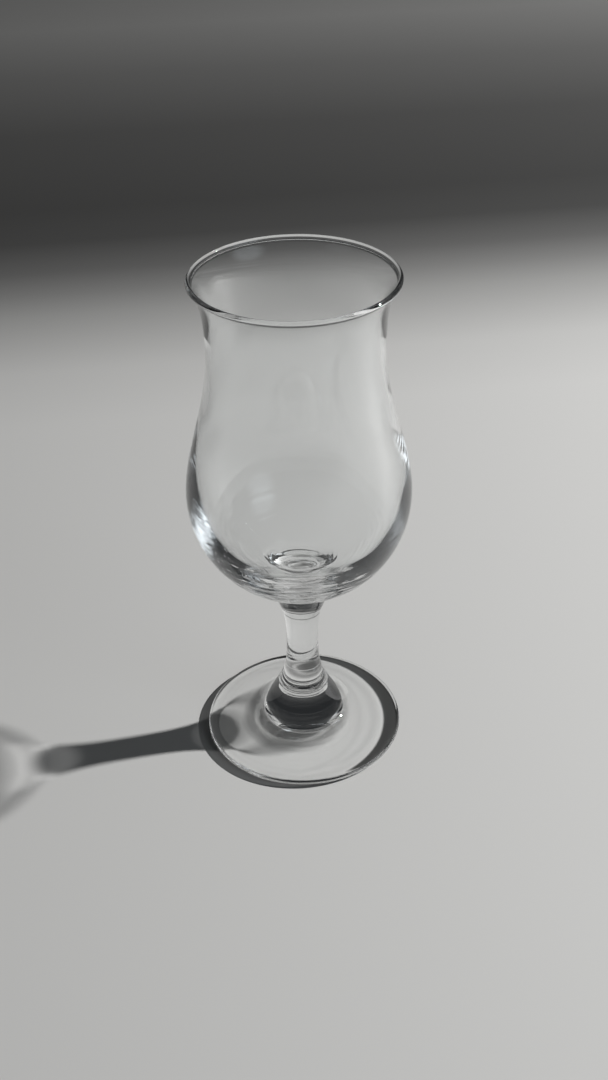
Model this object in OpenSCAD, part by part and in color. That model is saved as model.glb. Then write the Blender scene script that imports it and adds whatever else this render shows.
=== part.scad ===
// Short-stemmed hurricane glass: a blown bowl with a flared lip, a drawn stem and a pressed foot.
// Three pieces of glass, each turned about the Z axis, stand on each other and are fused end to end.
// The foot rests on z = 0. All lengths are millimetres and all angles degrees.

/* [Foot] */
// Diameter of the foot across its rounded edge
foot_d = 71; // [60:0.5:84]
// Thickness of the rounded edge of the foot
foot_edge_t = 3; // [2:0.1:4.5]
// Width of the flat ring that stands on the table
rest_w = 2.4; // [1:0.1:5]
// Slope of the top of the disc towards the middle
disc_slope = 16.5; // [8:0.5:20]
// Diameter at which the disc turns up into the hub
hub_d = 41; // [34:0.5:46]
// Height of the hub from the disc to the end of the stem
hub_rise = 13.2; // [11:0.1:20]
// Height of the hollow under the foot, in the middle
hollow_h = 3.4; // [0.5:0.1:4.5]

/* [Stem] */
// Length of the stem between its two fused ends
stem_l = 31.8; // [24:0.1:60]
// Diameter of the stem at its narrowest
stem_waist_d = 11.3; // [8:0.1:13]
// Height of the narrowest place above the foot end of the stem
stem_waist_up = 20.6; // [14:0.1:26]
// Diameter of the stem where it is fused to the foot
foot_joint_d = 18; // [14:0.1:22]
// Diameter of the stem where it is fused to the bowl
bowl_joint_d = 13.6; // [11.5:0.1:16]
// Lean of the stem wall from upright at the foot joint
foot_joint_lean = 27; // [5:1:35]
// Lean of the stem wall from upright at the bowl joint
bowl_joint_lean = 13; // [2:1:25]

/* [Bowl] */
// Height of the bowl from its fused end to the lip
bowl_h = 126; // [114:0.5:160]
// Height of the underside of the belly above the fused end, measured on the axis
belly_up = 11.3; // [8.5:0.1:14]
// Radius at which the neck under the bowl runs out into the belly
neck_r = 16.5; // [12:0.1:18]
// Diameter of the bowl at its widest
bulge_d = 75; // [66:0.5:86]
// Height of the widest place above the fused end of the bowl
bulge_up = 49.8; // [42:0.1:60]
// Diameter of the bowl at its waist, under the lip
waist_d = 56.5; // [48:0.5:60]
// Height of the waist above the fused end of the bowl
waist_up = 101.7; // [90:0.1:108]
// Diameter of the bowl across the lip
rim_d = 65.8; // [63:0.1:76]
// Lean of the wall from upright where it meets the lip
lip_lean = 32; // [20:1:45]

/* [Glass thickness] */
// Wall at the widest place
bulge_wall = 2.7; // [1.2:0.1:3.5]
// Wall at the waist
waist_wall = 1.4; // [1:0.1:2.6]
// Height above the widest place over which the wall thins to that of the waist
wall_fade = 30; // [10:1:40]
// Wall just under the lip
rim_wall = 0.9; // [0.8:0.1:2.4]
// How far the fire-polished bead stands out on each side of the wall
bead_proud = 0.45; // [0.2:0.05:1]
// Thickness of the bottom of the bowl on the axis
base_t = 6; // [4:0.1:13]

/* [Hidden] */
$fn = 180;
glass_color = [0.78, 0.86, 0.87, 0.45];
// Steps along each stretch of an outline
curve_steps = 18;
arc_steps = 12;

// Reach of a curve's two inner points, as shares of the height or width that the curve covers
disc_pull_share = 0.5;
fillet_pull_shares = [0.48, 0.4];
stem_low_pull_shares = [0.36, 0.42];
stem_high_pull_shares = [0.4, 0.36];
neck_pull_shares = [0.4, 0.4];
shoulder_pull_shares = [0.287, 0.355];
flare_pull_shares = [0.45, 0.3];
well_pull_shares = [0.5, 0.56];

// Foot
foot_r = foot_d / 2;
edge_r = foot_edge_t / 2;
edge_center = [foot_r - edge_r, edge_r];
disc_outer = edge_center + edge_r * [sin(disc_slope), cos(disc_slope)];
disc_rise = (disc_outer[0] - hub_d / 2) * tan(disc_slope);
disc_inner = [hub_d / 2, disc_outer[1] + disc_rise];
rest_inner_r = edge_center[0] - rest_w;
foot_joint_z = disc_inner[1] + hub_rise;
foot_joint = [foot_joint_d / 2, foot_joint_z];

// Stem
stem_waist = [stem_waist_d / 2, foot_joint_z + stem_waist_up];
bowl_joint_z = foot_joint_z + stem_l;
bowl_joint = [bowl_joint_d / 2, bowl_joint_z];

// Outside of the bowl
bulge = [bulge_d / 2, bowl_joint_z + bulge_up];
belly_drop = bulge_up - belly_up;
neck_angle = asin(neck_r / bulge[0]);
neck_end = belly_point(bulge, belly_drop, neck_angle);
waist = [waist_d / 2, bowl_joint_z + waist_up];

// Bead along the lip: the wall comes up to it leaning outwards and meets it at these two angles
bead_r = rim_wall / 2 + bead_proud;
bead_center = [rim_d / 2 - bead_r, bowl_joint_z + bowl_h - bead_r];
wall_spread = asin(rim_wall / 2 / bead_r);
outer_angle = wall_spread - 90 - lip_lean;
inner_angle = 270 - lip_lean - wall_spread;

// Inside of the bowl: the wall thins upwards from the widest place and more glass is left at the bottom
bulge_inside = bulge - [bulge_wall, 0];
waist_inside = waist - [waist_wall, 0];
fade_h = min(wall_fade, waist_up - bulge_up);
thinning = atan(2 * (bulge_wall - waist_wall) / fade_h);
well_drop = belly_drop - base_t;
well_bottom = bulge_inside - [bulge_inside[0], well_drop];

// Direction that leans from upright by an angle, outwards where the angle is above zero
function leaning(angle) = [sin(angle), cos(angle)];

// Cubic curve from start to finish, drawn towards two inner points, without its first point
function curve(start, pull_a, pull_b, finish) = [
    for (i = [1:curve_steps])
        let (t = i / curve_steps, u = 1 - t)
            u ^ 3 * start + 3 * u ^ 2 * t * pull_a + 3 * u * t ^ 2 * pull_b + t ^ 3 * finish
];

// Point at an angle on a circle about a centre
function on_circle(center, radius, angle) = center + radius * [cos(angle), sin(angle)];

function on_bead(angle) = on_circle(bead_center, bead_r, angle);

// Arc about a centre from one angle to another, without its first point
function arc(center, radius, from, to) = [
    for (i = [1:arc_steps])
        on_circle(center, radius, from + (to - from) * i / arc_steps)
];

// Point on the oval belly that hangs below the widest place, at an angle from straight down
function belly_point(widest, drop, angle) = widest + [widest[0] * (sin(angle) - 1), -drop * cos(angle)];

// Oval belly from an angle out to the widest place, without its first point
function belly(widest, drop, from) = [
    for (i = [1:curve_steps])
        belly_point(widest, drop, from + (90 - from) * i / curve_steps)
];

// Shoulder that draws in from the widest place to the waist, upright at both ends
function shoulder(low, high) =
    let (rise = high[1] - low[1])
        curve(low, low + [0, rise * shoulder_pull_shares[0]], high - [0, rise * shoulder_pull_shares[1]], high);

// Flare that leaves the waist upright and bends outwards to the lip
function flare(low, lip) =
    let (rise = lip[1] - low[1])
        curve(
            low,
            low + [0, rise * flare_pull_shares[0]],
            lip - rise * flare_pull_shares[1] * leaning(lip_lean),
            lip
        );

// Wall of the shoulder at a height above the widest place
function wall_at(up) = waist_wall + (bulge_wall - waist_wall) * (1 - min(up / fade_h, 1)) ^ 2;

function reversed(points) = [for (i = [len(points) - 1:-1:0]) points[i]];

function without_first(points) = [for (i = [1:len(points) - 1]) points[i]];

function foot_outline() = concat(
    [[0, hollow_h]],
    curve(
        [0, hollow_h],
        [rest_inner_r * disc_pull_share, hollow_h],
        [rest_inner_r, 0] + hollow_h * [-1 / tan(disc_slope), 1] * disc_pull_share,
        [rest_inner_r, 0]
    ),
    [on_circle(edge_center, edge_r, -90)],
    arc(edge_center, edge_r, -90, 90 - disc_slope),
    [disc_inner],
    curve(
        disc_inner,
        disc_inner + hub_rise * fillet_pull_shares[0] * [-cos(disc_slope), sin(disc_slope)],
        foot_joint + hub_rise * fillet_pull_shares[1] * -leaning(-foot_joint_lean),
        foot_joint
    ),
    [[0, foot_joint_z]]
);

function stem_outline() =
    let (low_rise = stem_waist_up, high_rise = stem_l - stem_waist_up)
        concat(
            [[0, foot_joint_z], foot_joint],
            curve(
                foot_joint,
                foot_joint + low_rise * stem_low_pull_shares[0] * leaning(-foot_joint_lean),
                stem_waist - [0, low_rise * stem_low_pull_shares[1]],
                stem_waist
            ),
            curve(
                stem_waist,
                stem_waist + [0, high_rise * stem_high_pull_shares[0]],
                bowl_joint - high_rise * stem_high_pull_shares[1] * leaning(bowl_joint_lean),
                bowl_joint
            ),
            [[0, bowl_joint_z]]
        );

function bowl_outside() =
    let (
        neck_rise = neck_end[1] - bowl_joint_z,
        neck_run = neck_r - bowl_joint[0],
        neck_slope = atan(belly_drop * sin(neck_angle) / (bulge[0] * cos(neck_angle)))
    )
        concat(
            [bowl_joint],
            curve(
                bowl_joint,
                bowl_joint + neck_rise * neck_pull_shares[0] * leaning(bowl_joint_lean),
                neck_end - neck_run * neck_pull_shares[1] * [cos(neck_slope), sin(neck_slope)],
                neck_end
            ),
            belly(bulge, belly_drop, neck_angle),
            shoulder(bulge, waist),
            flare(waist, on_bead(outer_angle))
        );

function bowl_inside() = concat(
    [well_bottom],
    curve(
        well_bottom,
        well_bottom + [bulge_inside[0] * well_pull_shares[0], 0],
        bulge_inside - well_drop * well_pull_shares[1] * leaning(thinning),
        bulge_inside
    ),
    [for (p = shoulder(bulge, waist)) p - [wall_at(p[1] - bulge[1]), 0]],
    flare(waist_inside, on_bead(inner_angle))
);

// The outline runs up the outside, round the bead and down the inside
function bowl_outline() = concat(
    [[0, bowl_joint_z]],
    bowl_outside(),
    arc(bead_center, bead_r, outer_angle, inner_angle),
    without_first(reversed(bowl_inside()))
);

module foot() {
    color(glass_color)
        rotate_extrude()
            polygon(foot_outline());
}

module stem() {
    color(glass_color)
        rotate_extrude()
            polygon(stem_outline());
}

module bowl() {
    color(glass_color)
        rotate_extrude()
            polygon(bowl_outline());
}

foot();
stem();
bowl();
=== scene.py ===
# A short-stemmed hurricane glass on a pale table: foot, stem and bowl, three pieces of clear glass
# fused end to end. Every piece is turned about the Z axis from an outline in its own half plane.
import math

import bpy
from mathutils import Matrix, Vector


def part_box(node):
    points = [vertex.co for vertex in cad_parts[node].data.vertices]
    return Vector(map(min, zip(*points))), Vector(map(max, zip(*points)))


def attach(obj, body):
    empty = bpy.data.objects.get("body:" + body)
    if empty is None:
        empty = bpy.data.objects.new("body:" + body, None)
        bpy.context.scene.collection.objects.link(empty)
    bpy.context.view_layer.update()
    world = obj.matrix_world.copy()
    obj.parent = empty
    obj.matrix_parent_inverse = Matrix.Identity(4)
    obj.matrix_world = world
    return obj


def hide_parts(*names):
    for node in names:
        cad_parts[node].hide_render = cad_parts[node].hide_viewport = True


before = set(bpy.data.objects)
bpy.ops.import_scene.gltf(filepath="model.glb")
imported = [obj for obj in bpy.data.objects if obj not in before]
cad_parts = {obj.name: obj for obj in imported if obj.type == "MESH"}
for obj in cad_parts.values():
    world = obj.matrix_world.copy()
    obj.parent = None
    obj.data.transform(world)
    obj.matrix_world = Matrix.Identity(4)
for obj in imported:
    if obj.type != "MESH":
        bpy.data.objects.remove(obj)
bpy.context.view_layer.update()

mm = 0.001
hair = 0.001 * mm  # places nearer than this are the same
quarterTurn = math.pi / 2
segments = 180  # flats around the axis


# points and curves, as (radius, height)

def point(radius, height):
    return Vector((radius, height))


def leaning(angle):  # direction that leans from upright, outwards above zero
    return point(math.sin(angle), math.cos(angle))


def curve(start, pullA, pullB, finish, steps):  # cubic curve, without its first point
    points = []
    for i in range(1, steps + 1):
        t = i / steps
        u = 1 - t
        points.append(u ** 3 * start + 3 * u * u * t * pullA + 3 * u * t * t * pullB + t ** 3 * finish)
    return points


def onCircle(center, radius, angle):
    return center + radius * point(math.cos(angle), math.sin(angle))


def arc(center, radius, begin, end, steps):  # arc, without its first point
    return [onCircle(center, radius, begin + (end - begin) * i / steps) for i in range(1, steps + 1)]


# lift of a surface by the rings that the turning left in it, a fine set and a coarse one; they fade
# out at both ends, and drift in and out a little around the axis
def ringLift(rings, radius, turn):
    share = (radius - rings["from"]) / (rings["to"] - rings["from"])
    if share <= 0 or share >= 1:
        return 0
    drift = rings["drift"] * math.sin(rings["lobes"] * turn + rings["twist"] * share)
    fine = math.sin(2 * math.pi * (radius + drift) / rings["spacing"])
    coarse = math.sin(2 * math.pi * (radius - drift) / rings["coarseSpacing"])
    return rings["height"] * math.sin(math.pi * share) * (fine + coarse) / 2


# push of a wall towards the axis or away from it, because blown glass is a little uneven
def wavePush(waves, height, turn):
    share = (height - waves["from"]) / (waves["to"] - waves["from"])
    if share <= 0 or share >= 1:
        return 0
    wander = waves["wander"] * math.sin(2 * turn)
    tilt = waves["tilt"] * math.sin(turn + waves["tiltTurn"])
    around = math.sin(waves["lobes"] * turn + waves["twist"] * share + wander)
    upwards = math.sin(2 * math.pi * waves["swells"] * share + tilt)
    return waves["depth"] * math.sin(math.pi * share) * around * upwards


# meshes

def linked(name, data):
    thing = bpy.data.objects.new(name, data)
    bpy.context.scene.collection.objects.link(thing)
    return thing


# turns an outline about the axis; ringed and waved hold the places in it of the points to move
def turned(name, outline, rings, ringed, waves, waved):
    loops, verts, faces = [], [], []
    for i, p in enumerate(outline):
        first = len(verts)
        if p.x < hair:
            loops.append([first] * segments)
            verts.append((0, 0, p.y))
            continue
        loops.append(list(range(first, first + segments)))
        for k in range(segments):
            turn = 2 * math.pi * k / segments
            lift = ringLift(rings, p.x, turn) if i in ringed else 0
            out = p.x + (wavePush(waves, p.y, turn) if i in waved else 0)
            verts.append((out * math.cos(turn), out * math.sin(turn), p.y + lift))
    for low, high in zip(loops, loops[1:]):
        for k in range(segments):
            n = (k + 1) % segments
            corners = [low[k], low[n], high[n], high[k]]
            face = [v for i, v in enumerate(corners) if v != corners[i - 1]]
            if len(face) > 2:
                faces.append(face)
    mesh = bpy.data.meshes.new(name)
    mesh.from_pydata(verts, [], faces)
    mesh.validate()
    mesh.shade_smooth()
    return linked(name, mesh)


# glass

glassLook = {
    "tint": (0.98, 0.988, 0.988, 1),  # what a ray keeps on its way in and out
    "refraction": 1.52,
    "edgeFrom": 0.7,  # how nearly edge on the glass is met where it starts to hold back light
    "edgeLevel": 0.25,  # what it lets through to the table where it is met edge on
}
fromAxis = (1, 1, 0)
alongAxis = (0, 0, 1)


# fills a ramp with stops (place, level), each the level's share of one colour
def setStops(ramp, stops, color):
    while len(ramp.elements) < len(stops):
        ramp.elements.new(1)
    for element, (at, level) in zip(ramp.elements, stops):
        element.position = at
        element.color = [level * c for c in color] + [1]


# Clear glass. For the light that goes on to the table it is a filter instead: the stops give what one
# surface lets through, against the distance from the axis or the height, so thick and curved glass
# throws a darker shadow. A level above 1 stands for light that the glass gathers there.
def clearGlass(name, along, span, stops):
    mat = bpy.data.materials.new(name)
    mat.use_nodes = True
    nodes, links = mat.node_tree.nodes, mat.node_tree.links
    glass = nodes["Principled BSDF"]
    glass.inputs["Base Color"].default_value = glassLook["tint"]
    glass.inputs["Roughness"].default_value = 0
    glass.inputs["IOR"].default_value = glassLook["refraction"]
    glass.inputs["Transmission Weight"].default_value = 1

    place = nodes.new("ShaderNodeNewGeometry")
    part = nodes.new("ShaderNodeVectorMath")
    part.operation = "MULTIPLY"
    part.inputs[1].default_value = along
    distance = nodes.new("ShaderNodeVectorMath")
    distance.operation = "LENGTH"
    share = nodes.new("ShaderNodeMapRange")
    share.inputs["From Min"].default_value = span[0]
    share.inputs["From Max"].default_value = span[1]
    ramp = nodes.new("ShaderNodeValToRGB")
    setStops(ramp.color_ramp, stops, (1, 1, 1))
    links.new(place.outputs["Position"], part.inputs[0])
    links.new(part.outputs[0], distance.inputs[0])
    links.new(distance.outputs["Value"], share.inputs["Value"])
    links.new(share.outputs[0], ramp.inputs["Fac"])

    facing = nodes.new("ShaderNodeLayerWeight")
    edgeOn = nodes.new("ShaderNodeMapRange")
    edgeOn.interpolation_type = "SMOOTHSTEP"
    edgeOn.inputs["From Min"].default_value = glassLook["edgeFrom"]
    edgeOn.inputs["To Min"].default_value = 1
    edgeOn.inputs["To Max"].default_value = glassLook["edgeLevel"]
    level = nodes.new("ShaderNodeVectorMath")
    level.operation = "SCALE"
    links.new(facing.outputs["Facing"], edgeOn.inputs["Value"])
    links.new(ramp.outputs["Color"], level.inputs[0])
    links.new(edgeOn.outputs[0], level.inputs["Scale"])

    filterGlass = nodes.new("ShaderNodeBsdfTransparent")
    rays = nodes.new("ShaderNodeLightPath")
    mix = nodes.new("ShaderNodeMixShader")
    links.new(level.outputs[0], filterGlass.inputs["Color"])
    links.new(rays.outputs["Is Shadow Ray"], mix.inputs[0])
    links.new(glass.outputs[0], mix.inputs[1])
    links.new(filterGlass.outputs[0], mix.inputs[2])
    links.new(mix.outputs[0], nodes["Material Output"].inputs["Surface"])
    return mat


def fusedSeam(name):  # glass runs on through a fused end, so light passes it unbent
    mat = bpy.data.materials.new(name)
    mat.use_nodes = True
    nodes, links = mat.node_tree.nodes, mat.node_tree.links
    nodes.clear()
    clear = nodes.new("ShaderNodeBsdfTransparent")
    out = nodes.new("ShaderNodeOutputMaterial")
    links.new(clear.outputs[0], out.inputs["Surface"])
    return mat


seamGlass = fusedSeam("fusedSeam")


# one piece of glass; seams are the heights at which a flat end is fused to the next piece
def glassPiece(name, node, outline, seams, glass, rings=None, ringed=(), waves=None, waved=()):
    piece = turned(name, outline, rings, ringed, waves, waved)
    piece.data.materials.append(glass)
    piece.data.materials.append(seamGlass)
    for face in piece.data.polygons:
        heights = [piece.data.vertices[v].co.z for v in face.vertices]
        if any(max(abs(h - seam) for h in heights) < hair for seam in seams):
            face.material_index = 1
            face.use_smooth = False
    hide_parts(node)
    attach(piece, "root")
    print(name, "turned,", len(piece.data.polygons), "faces")


footBox, stemBox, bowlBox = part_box("foot"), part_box("stem"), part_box("bowl")


# foot: a pressed disc that rises to a hub, hollow underneath

foot = {
    "edgeThickness": 3 * mm,
    "restWidth": 2.4 * mm,
    "discSlope": math.radians(16.5),
    "hubRadius": 20.5 * mm,
    "hollow": 3.4 * mm,
    "jointRadius": 9 * mm,
    "jointLean": math.radians(27),
    "discPull": 0.5,
    "filletPulls": (0.48, 0.4),
    "hollowSteps": 128,
    "rings": {
        "from": 9 * mm,
        "to": 31 * mm,
        "spacing": 2.3 * mm,
        "coarseSpacing": 3.91 * mm,
        "height": 0.02 * mm,
        "drift": 0.2 * mm,
        "lobes": 3,
        "twist": 7,
    },
    "shadow": [  # against the share of the way from the axis to the edge
        (0, 0.3), (0.24, 0.35), (0.3, 0.85), (0.36, 0.45), (0.43, 0.55), (0.52, 1.06), (0.74, 1.06),
        (0.78, 0.99), (0.83, 1.09), (0.87, 1.01), (0.93, 1.09), (0.95, 1.2), (0.965, 0.1), (1, 0.1),
    ],
}


def footOutline(s, steps=64):
    edge = s["edgeThickness"] / 2
    slope = s["discSlope"]
    center = point(footBox[1].x - edge, edge)
    outer = onCircle(center, edge, quarterTurn - slope)
    inner = point(s["hubRadius"], outer.y + (outer.x - s["hubRadius"]) * math.tan(slope))
    joint = point(s["jointRadius"], footBox[1].z)
    rise = joint.y - inner.y
    crown = point(0, s["hollow"])
    rest = point(center.x - s["restWidth"], 0)
    upSlope = point(-1 / math.tan(slope), 1) * s["hollow"] * s["discPull"]
    points = [crown]
    points += curve(
        crown,
        point(rest.x * s["discPull"], s["hollow"]),
        rest + upSlope,
        rest,
        s["hollowSteps"],
    )
    points += [onCircle(center, edge, -quarterTurn)]
    points += arc(center, edge, -quarterTurn, quarterTurn - slope, steps // 2)
    points += [outer.lerp(inner, i / steps) for i in range(1, steps)] + [inner]
    points += curve(
        inner,
        inner + rise * s["filletPulls"][0] * point(-math.cos(slope), math.sin(slope)),
        joint - rise * s["filletPulls"][1] * leaning(-s["jointLean"]),
        joint,
        steps,
    )
    return points + [point(0, joint.y)]


footGlass = clearGlass("footGlass", fromAxis, (0, footBox[1].x), foot["shadow"])
outline = footOutline(foot)
ringed = [  # the hollow, whose points come first, and the top inside the last ring
    i for i in range(1, len(outline) - 1)
    if i < foot["hollowSteps"] or outline[i].x < foot["rings"]["to"]
]
glassPiece("footGlass", "foot", outline, [footBox[1].z], footGlass, foot["rings"], ringed)


# stem: drawn, narrowest at its waist

stem = {
    "waistRadius": 5.65 * mm,
    "waistUp": 20.6 * mm,
    "lowRadius": foot["jointRadius"],
    "highRadius": 6.8 * mm,
    "lowLean": foot["jointLean"],
    "highLean": math.radians(13),
    "lowPulls": (0.36, 0.42),
    "highPulls": (0.4, 0.36),
    "shadow": [(0, 0.14), (1, 0.14)],
}


def stemOutline(s, steps=48):
    low = point(s["lowRadius"], stemBox[0].z)
    high = point(s["highRadius"], stemBox[1].z)
    waist = point(s["waistRadius"], low.y + s["waistUp"])
    lowRise, highRise = waist.y - low.y, high.y - waist.y
    points = [point(0, low.y), low]
    points += curve(
        low,
        low + lowRise * s["lowPulls"][0] * leaning(-s["lowLean"]),
        waist - point(0, lowRise * s["lowPulls"][1]),
        waist,
        steps,
    )
    points += curve(
        waist,
        waist + point(0, highRise * s["highPulls"][0]),
        high - highRise * s["highPulls"][1] * leaning(s["highLean"]),
        high,
        steps,
    )
    return points + [point(0, high.y)]


stemGlass = clearGlass("stemGlass", alongAxis, (stemBox[0].z, stemBox[1].z), stem["shadow"])
glassPiece("stemGlass", "stem", stemOutline(stem), [stemBox[0].z, stemBox[1].z], stemGlass)


# bowl: blown, thick at the bottom and thin at the waist, with a bead along its flared lip

bowl = {
    "jointRadius": stem["highRadius"],
    "jointLean": stem["highLean"],
    "bellyUp": 11.3 * mm,
    "neckRadius": 16.5 * mm,
    "bulgeRadius": 37.5 * mm,
    "bulgeUp": 49.8 * mm,
    "waistRadius": 28.25 * mm,
    "waistUp": 101.7 * mm,
    "rimRadius": 32.9 * mm,
    "lipLean": math.radians(32),
    "bulgeWall": 2.7 * mm,
    "waistWall": 1.4 * mm,
    "wallFade": 30 * mm,
    "rimWall": 0.9 * mm,
    "beadProud": 0.45 * mm,
    "base": 6 * mm,
    "neckPulls": (0.4, 0.4),
    "shoulderPulls": (0.287, 0.355),
    "flarePulls": (0.45, 0.3),
    "wellPulls": (0.5, 0.56),
    "wellSteps": 176,
    "rings": {
        "from": 7 * mm,
        "to": 36 * mm,
        "spacing": 1.9 * mm,
        "coarseSpacing": 3.23 * mm,
        "height": 0.12 * mm,
        "drift": 0.35 * mm,
        "lobes": 5,
        "twist": 7,
    },
    "waves": {
        "from": 80 * mm,
        "to": 160 * mm,
        "depth": 0.12 * mm,
        "lobes": 4,
        "twist": 5,
        "wander": 2,
        "swells": 2.3,
        "tilt": 3,
        "tiltTurn": 1,
    },
    "shadow": [  # against the share of the way from the joint to the lip
        (0, 0.14), (0.012, 0.2), (0.028, 1.5), (0.07, 1.35), (0.1, 0.95), (0.13, 0.72),
        (0.34, 0.8), (0.45, 0.98), (0.97, 0.98), (0.985, 0.5), (1, 0.5),
    ],
}


def bellyPoint(widest, drop, angle):  # oval that hangs below the widest place
    return widest + point(widest.x * (math.sin(angle) - 1), -drop * math.cos(angle))


def shoulder(s, low, high, steps):
    rise = high.y - low.y
    pullLow, pullHigh = s["shoulderPulls"]
    return curve(low, low + point(0, rise * pullLow), high - point(0, rise * pullHigh), high, steps)


def flare(s, low, lip, steps):
    rise = lip.y - low.y
    pullLow, pullLip = s["flarePulls"]
    nearLip = lip - rise * pullLip * leaning(s["lipLean"])
    return curve(low, low + point(0, rise * pullLow), nearLip, lip, steps)


def wallAt(s, up):  # wall at a height above the widest place
    share = min(up / s["wallFade"], 1)
    return s["waistWall"] + (s["bulgeWall"] - s["waistWall"]) * (1 - share) ** 2


def bowlOutline(s, steps=64):  # up the outside, round the bead and down the inside
    bottom, top = bowlBox[0].z, bowlBox[1].z
    joint = point(s["jointRadius"], bottom)
    bulge = point(s["bulgeRadius"], bottom + s["bulgeUp"])
    waist = point(s["waistRadius"], bottom + s["waistUp"])
    drop = s["bulgeUp"] - s["bellyUp"]
    neckAngle = math.asin(s["neckRadius"] / bulge.x)
    neck = bellyPoint(bulge, drop, neckAngle)
    slope = math.atan2(drop * math.sin(neckAngle), bulge.x * math.cos(neckAngle))
    beadRadius = s["rimWall"] / 2 + s["beadProud"]
    bead = point(s["rimRadius"] - beadRadius, top - beadRadius)
    spread = math.asin(s["rimWall"] / 2 / beadRadius)
    outerAngle = spread - quarterTurn - s["lipLean"]
    innerAngle = 3 * quarterTurn - s["lipLean"] - spread

    outside = [point(0, bottom), joint]
    outside += curve(
        joint,
        joint + (neck.y - bottom) * s["neckPulls"][0] * leaning(s["jointLean"]),
        neck - (neck.x - joint.x) * s["neckPulls"][1] * point(math.cos(slope), math.sin(slope)),
        neck,
        steps // 2,
    )
    for i in range(1, steps + 1):
        outside.append(bellyPoint(bulge, drop, neckAngle + (quarterTurn - neckAngle) * i / steps))
    outside += shoulder(s, bulge, waist, steps)
    outside += flare(s, waist, onCircle(bead, beadRadius, outerAngle), steps // 2)
    lip = arc(bead, beadRadius, outerAngle, innerAngle, steps // 2)

    bulgeIn = bulge - point(s["bulgeWall"], 0)
    waistIn = waist - point(s["waistWall"], 0)
    depth = drop - s["base"]
    well = bulgeIn - point(bulgeIn.x, depth)
    thinning = math.atan(2 * (s["bulgeWall"] - s["waistWall"]) / s["wallFade"])
    pullWell, pullBulge = s["wellPulls"]
    inside = [well]
    inside += curve(
        well,
        well + point(bulgeIn.x * pullWell, 0),
        bulgeIn - depth * pullBulge * leaning(thinning),
        bulgeIn,
        s["wellSteps"],
    )
    for p in shoulder(s, bulge, waist, steps):
        inside.append(p - point(wallAt(s, p.y - bulge.y), 0))
    inside += flare(s, waistIn, onCircle(bead, beadRadius, innerAngle), steps // 2)
    return outside + lip + inside[-2::-1]


bowlGlass = clearGlass("bowlGlass", alongAxis, (bowlBox[0].z, bowlBox[1].z), bowl["shadow"])
outline = bowlOutline(bowl)
ringed = range(len(outline) - bowl["wellSteps"], len(outline) - 1)  # the well's points come last
waved = range(len(outline) // 2, len(outline) - 1)  # all on the inside
glassPiece(
    "bowlGlass", "bowl", outline, [bowlBox[0].z], bowlGlass,
    bowl["rings"], ringed, bowl["waves"], waved,
)


# table

table = {
    "halfSide": 3,
    "below": 0.2 * mm,  # keeps the foot's flat ring clear of the table
    "pale": (0.64, 0.635, 0.62),
    "roughness": 0.6,
    "shadeSkew": -0.13,  # the painted shade of the far side runs a little across
    "far": 1.1,
    "paintedShadeTones": [  # share of the pale tone, against the share of the way to the far side; the dip is painted shadow where the far table lies in shade
        (0.22, 1), (0.275, 0.9), (0.34, 0.55), (0.37, 0.35), (0.4, 0.2),
        (0.445, 0.1), (0.5, 0.085), (0.65, 0.12), (0.8, 0.22), (0.95, 0.37),
    ],
}


def tableTop(s):
    half = s["halfSide"]
    corners = [(-half, -half), (half, -half), (half, half), (-half, half)]
    mesh = bpy.data.meshes.new("tableTop")
    mesh.from_pydata([(x, y, -s["below"]) for x, y in corners], [], [(0, 1, 2, 3)])
    top = linked("tableTop", mesh)
    mat = bpy.data.materials.new("paleTablePaintedShade")
    mat.use_nodes = True
    nodes, links = mat.node_tree.nodes, mat.node_tree.links
    surface = nodes["Principled BSDF"]
    surface.inputs["Roughness"].default_value = s["roughness"]
    place = nodes.new("ShaderNodeNewGeometry")
    across = nodes.new("ShaderNodeVectorMath")
    across.operation = "DOT_PRODUCT"
    across.inputs[1].default_value = (s["shadeSkew"], 1, 0)
    share = nodes.new("ShaderNodeMath")
    share.operation = "DIVIDE"
    share.inputs[1].default_value = s["far"]
    # painted shade: the table's colour darkens towards the far side, standing in for the shadow that
    # falls there
    shadeTone = nodes.new("ShaderNodeValToRGB")
    setStops(shadeTone.color_ramp, s["paintedShadeTones"], s["pale"])
    links.new(place.outputs["Position"], across.inputs[0])
    links.new(across.outputs["Value"], share.inputs[0])
    links.new(share.outputs[0], shadeTone.inputs["Fac"])
    links.new(shadeTone.outputs["Color"], surface.inputs["Base Color"])
    mesh.materials.append(mat)


tableTop(table)


# light: the azimuth runs from +X towards +Y, the elevation up from the table

aim = Vector((0, 0, 80 * mm))  # what the lamps face
cloth = {  # the softboxes' cloth cools the light, and is brightest in the middle
    "color": (0.88, 0.95, 1),
    "middle": (0.5, 0.5, 0),
    "fadeFrom": 0.2,
    "fadeTo": 0.5,
}
lamps = {
    "key": {
        "wide": 0.06, "high": 0.06, "power": 57,
        "azimuth": 12, "elevation": 30, "away": 2, "soft": False,
    },
    "frontSoftbox": {
        "wide": 1.1, "high": 0.85, "power": 4.5,
        "azimuth": 326, "elevation": 27, "away": 1.3, "soft": True,
    },
    "sideSoftbox": {
        "wide": 0.9, "high": 0.5, "power": 0.4,
        "azimuth": 215, "elevation": 32, "away": 1.3, "soft": True,
    },
}


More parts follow.
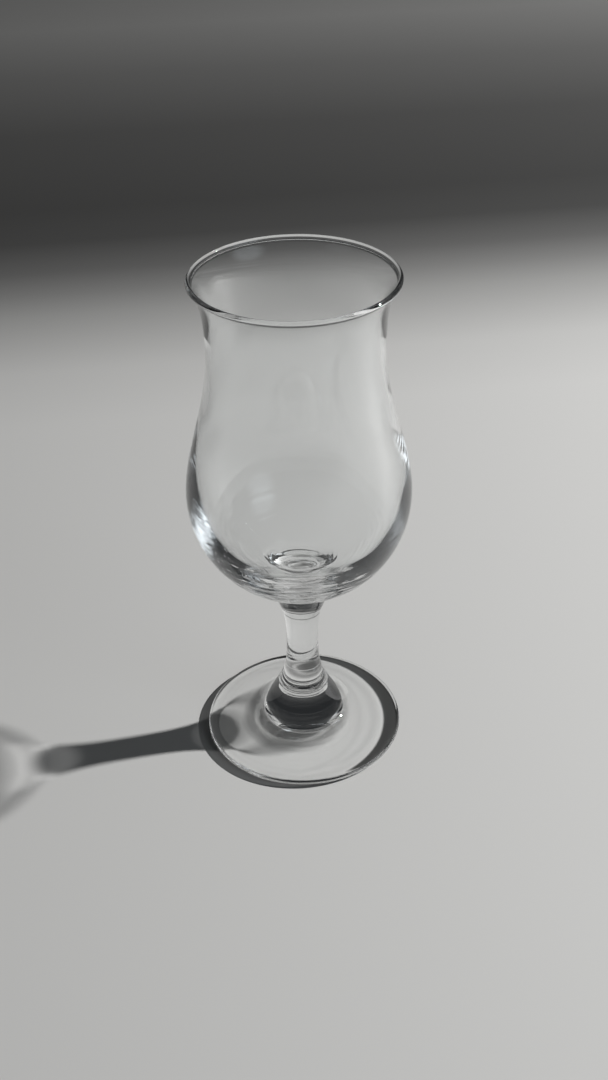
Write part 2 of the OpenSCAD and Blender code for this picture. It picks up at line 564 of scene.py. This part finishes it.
def fadeOut(data):  # lets a lamp fade out from its middle towards its edges
    data.use_nodes = True
    nodes, links = data.node_tree.nodes, data.node_tree.links
    spot = nodes.new("ShaderNodeNewGeometry")
    away = nodes.new("ShaderNodeVectorMath")
    away.operation = "DISTANCE"
    away.inputs[1].default_value = cloth["middle"]
    fade = nodes.new("ShaderNodeMapRange")
    fade.interpolation_type = "SMOOTHSTEP"
    fade.inputs["From Min"].default_value = cloth["fadeFrom"]
    fade.inputs["From Max"].default_value = cloth["fadeTo"]
    fade.inputs["To Min"].default_value = 1
    fade.inputs["To Max"].default_value = 0
    links.new(spot.outputs["Parametric"], away.inputs[0])
    links.new(away.outputs["Value"], fade.inputs["Value"])
    links.new(fade.outputs[0], nodes["Emission"].inputs["Strength"])


def placeLamp(name, s):
    data = bpy.data.lights.new(name, "AREA")
    data.shape = "RECTANGLE"
    data.size = s["wide"]
    data.size_y = s["high"]
    data.energy = s["power"]
    lamp = linked(name, data)
    azimuth, elevation = math.radians(s["azimuth"]), math.radians(s["elevation"])
    level = math.cos(elevation)
    away = Vector((math.cos(azimuth) * level, math.sin(azimuth) * level, math.sin(elevation)))
    lamp.location = aim + s["away"] * away
    lamp.rotation_euler = (-away).to_track_quat("-Z", "Y").to_euler()
    lamp.visible_camera = False
    if s["soft"]:
        lamp.visible_glossy = False  # a softbox shows only through the glass
        data.color = cloth["color"]
        fadeOut(data)


for lampName, lamp in lamps.items():
    placeLamp(lampName, lamp)

roomLight = {"color": (0.5, 0.53, 0.56, 1), "strength": 0.04}
room = bpy.data.worlds.new("room")
room.use_nodes = True
background = room.node_tree.nodes["Background"]
background.inputs["Color"].default_value = roomLight["color"]
background.inputs["Strength"].default_value = roomLight["strength"]
bpy.context.scene.world = room
print("table and", len(lamps), "lamps set")


# camera, at the angle from which the photograph was taken

view = {
    "lens": 45.33,
    "sensor": 36,
    "place": (0.0013, -0.38133, 0.34445),
    "down": math.radians(34.607),
    "roll": math.radians(-1.2),
}

cameraData = bpy.data.cameras.new("camera")
cameraData.lens = view["lens"]
cameraData.sensor_width = view["sensor"]
camera = linked("camera", cameraData)
camera.location = view["place"]
tilt = Matrix.Rotation(quarterTurn - view["down"], 4, "X") @ Matrix.Rotation(view["roll"], 4, "Z")
camera.rotation_mode = "QUATERNION"
camera.rotation_quaternion = tilt.to_quaternion()
bpy.context.scene.camera = camera

# light runs far along the wall before it gets out, so it may bounce often; the shadow stops above
# stand for the light that glass gathers, so the renderer's own caustics are off
bounces = {"inGlass": 48, "throughShadows": 24}
cycles = bpy.context.scene.cycles
cycles.caustics_refractive = False
cycles.caustics_reflective = False
cycles.max_bounces = bounces["inGlass"]
cycles.transmission_bounces = bounces["inGlass"]
cycles.glossy_bounces = bounces["inGlass"]
cycles.transparent_max_bounces = bounces["throughShadows"]
cycles.blur_glossy = 0
bpy.context.scene.view_settings.view_transform = "Standard"
print("camera set")
